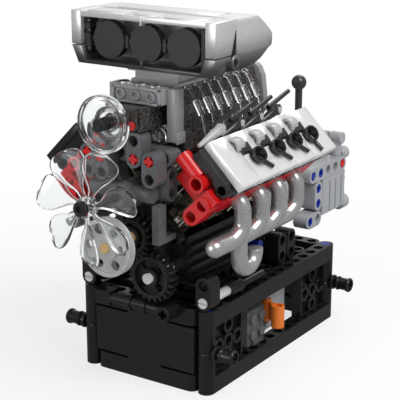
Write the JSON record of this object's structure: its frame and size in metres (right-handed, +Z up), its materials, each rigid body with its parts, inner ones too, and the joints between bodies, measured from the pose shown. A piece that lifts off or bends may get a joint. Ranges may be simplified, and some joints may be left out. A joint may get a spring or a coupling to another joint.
{
  "type": "engine model",
  "caption": "Moving brick-built display model of a supercharged V8 engine with gearbox, on a black stand with a battery box, spinning fan, pulleys, gears and pistons.",
  "frame": {"origin": "middle of the stand underside, under the centre of the whole box", "axes": "+Z up, +Y towards the gearbox along the engine, +X towards the side with the switch"},
  "size_m": [0.1074, 0.2088, 0.169],
  "materials": {
    "black_satin": "satin black moulded",
    "black_gear": "black moulded",
    "black_disc": "matt black",
    "battery_grey": "light grey moulded",
    "plug_grey": "dark grey moulded",
    "switch_orange": "orange moulded",
    "pin_blue": "blue moulded",
    "pin_grey": "light grey moulded",
    "crank_tan": "tan moulded",
    "piston_grey": "grey moulded",
    "smoke_clear": "smoke transparent",
    "frame_red": "red moulded",
    "axle_red": "red moulded",
    "cover_white": "white pearl",
    "exhaust_silver": "metallic silver",
    "dark_grey": "dark grey moulded",
    "liner_grey": "dark grey moulded",
    "pulley_grey": "light grey pearl",
    "clear": "clear transparent",
    "bracket_grey": "medium grey moulded",
    "scoop_silver": "silver pearl",
    "neck_grey": "grey pearl",
    "gearbox_grey": "light grey moulded"
  },
  "bodies": {
    "engine": {"bank_frame_left": "frame_red", "bank_frame_right": "frame_red", "battery_box": "battery_grey", "blue_pins": "pin_blue", "case_ribs": "clear", "connector_plug": "plug_grey", "corner_brackets": "black_satin", "corner_columns": "black_satin", "cover_clips": "black_satin", "crankcase": "black_satin", "cylinder_block_left": "smoke_clear", "cylinder_block_right": "smoke_clear", "deck_beams": "black_satin", "end_panels": "black_satin", "engine_cradle": "black_satin", "exhaust_collectors": "exhaust_silver", "exhaust_headers_left": "exhaust_silver", "exhaust_headers_right": "exhaust_silver", "front_arm": "dark_grey", "front_beams": "dark_grey", "gearbox_beams": "gearbox_grey", "gearbox_case": "gearbox_grey", "grey_pins": "pin_grey", "handle_axles": "black_satin", "handle_bushes": "black_satin", "head_beams": "black_satin", "plug_rods": "black_satin", "red_axles": "axle_red", "scoop_liner": "liner_grey", "scoop_neck": "neck_grey", "scoop_shell": "scoop_silver", "side_end_panels": "black_satin", "stand_cross_beams": "black_satin", "stand_side_beams": "black_satin", "supercharger_brackets": "bracket_grey", "supercharger_case": "dark_grey", "tie_tubes": "black_satin", "valve_cover_left": "cover_white", "valve_cover_right": "cover_white"},
    "crank": {"crankshaft": "crank_tan", "crank_pulley": "pulley_grey", "crank_gear": "black_gear"},
    "lower_gear": {"lower_gear": "black_gear", "lower_gear_axle": "pin_grey"},
    "fan": {"fan": "clear", "fan_hub": "black_gear"},
    "dish_pulley": {"dish_pulley": "clear", "dish_axle": "black_gear"},
    "throttle": {"throttle_discs": "black_disc"},
    "output_shaft": {"output_shaft": "gearbox_grey"},
    "gear_lever": {"gear_lever": "dark_grey"},
    "switch_lever": {"switch_lever": "switch_orange"},
    "piston_right_1": {"piston_right_1": "piston_grey"},
    "piston_right_2": {"piston_right_2": "piston_grey"},
    "piston_right_3": {"piston_right_3": "piston_grey"},
    "piston_right_4": {"piston_right_4": "piston_grey"},
    "piston_left_1": {"piston_left_1": "piston_grey"},
    "piston_left_2": {"piston_left_2": "piston_grey"},
    "piston_left_3": {"piston_left_3": "piston_grey"},
    "piston_left_4": {"piston_left_4": "piston_grey"}
  },
  "joints": [
    {"name": "crank_spin", "type": "hinge", "parent": "engine", "child": "crank", "pos_m": [0, -0.05, 0.072], "axis": [0, 1, 0], "continuous": true},
    {"name": "lower_gear_spin", "type": "hinge", "parent": "engine", "child": "lower_gear", "pos_m": [0.0096, -0.065, 0.05445], "axis": [0, 1, 0], "continuous": true},
    {"name": "fan_spin", "type": "hinge", "parent": "engine", "child": "fan", "pos_m": [0, -0.095, 0.0936], "axis": [0, 1, 0], "continuous": true},
    {"name": "dish_pulley_spin", "type": "hinge", "parent": "engine", "child": "dish_pulley", "pos_m": [0, -0.085, 0.1268], "axis": [0, 1, 0], "continuous": true},
    {"name": "output_spin", "type": "hinge", "parent": "engine", "child": "output_shaft", "pos_m": [0, 0.09, 0.0664], "axis": [0, 1, 0], "continuous": true},
    {"name": "throttle_tilt", "type": "hinge", "parent": "engine", "child": "throttle", "pos_m": [0, -0.054, 0.1564], "axis": [1, 0, 0], "range_deg": [-60, 0], "stiffness_Nm_per_rad": 0.0004},
    {"name": "gear_lever_tilt", "type": "hinge", "parent": "engine", "child": "gear_lever", "pos_m": [0, 0.0816, 0.0816], "axis": [1, 0, 0], "range_deg": [-12, 12]},
    {"name": "switch_turn", "type": "hinge", "parent": "engine", "child": "switch_lever", "pos_m": [0.02896, 0.002, 0.021], "axis": [0, 0, 1], "range_deg": [-12, 12]},
    {"name": "piston_right_1_slide", "type": "slide", "parent": "engine", "child": "piston_right_1", "axis": [0.7071, 0, 0.7071], "range_m": [-0.00683, 0.00117]},
    {"name": "piston_right_2_slide", "type": "slide", "parent": "engine", "child": "piston_right_2", "axis": [0.7071, 0, 0.7071], "range_m": [-0.00683, 0.00117]},
    {"name": "piston_right_3_slide", "type": "slide", "parent": "engine", "child": "piston_right_3", "axis": [0.7071, 0, 0.7071], "range_m": [-0.00117, 0.00683]},
    {"name": "piston_right_4_slide", "type": "slide", "parent": "engine", "child": "piston_right_4", "axis": [0.7071, 0, 0.7071], "range_m": [-0.00117, 0.00683]},
    {"name": "piston_left_1_slide", "type": "slide", "parent": "engine", "child": "piston_left_1", "axis": [-0.7071, 0, 0.7071], "range_m": [-0.00683, 0.00117]},
    {"name": "piston_left_2_slide", "type": "slide", "parent": "engine", "child": "piston_left_2", "axis": [-0.7071, 0, 0.7071], "range_m": [-0.00117, 0.00683]},
    {"name": "piston_left_3_slide", "type": "slide", "parent": "engine", "child": "piston_left_3", "axis": [-0.7071, 0, 0.7071], "range_m": [-0.00683, 0.00117]},
    {"name": "piston_left_4_slide", "type": "slide", "parent": "engine", "child": "piston_left_4", "axis": [-0.7071, 0, 0.7071], "range_m": [-0.00117, 0.00683]}
  ],
  "couplings": [
    {"joint": "lower_gear_spin", "follows": "crank_spin", "ratio": -0.81818},
    {"joint": "fan_spin", "follows": "crank_spin", "ratio": 1},
    {"joint": "dish_pulley_spin", "follows": "crank_spin", "ratio": 1.0476},
    {"joint": "output_spin", "follows": "crank_spin", "ratio": 1}
  ]
}
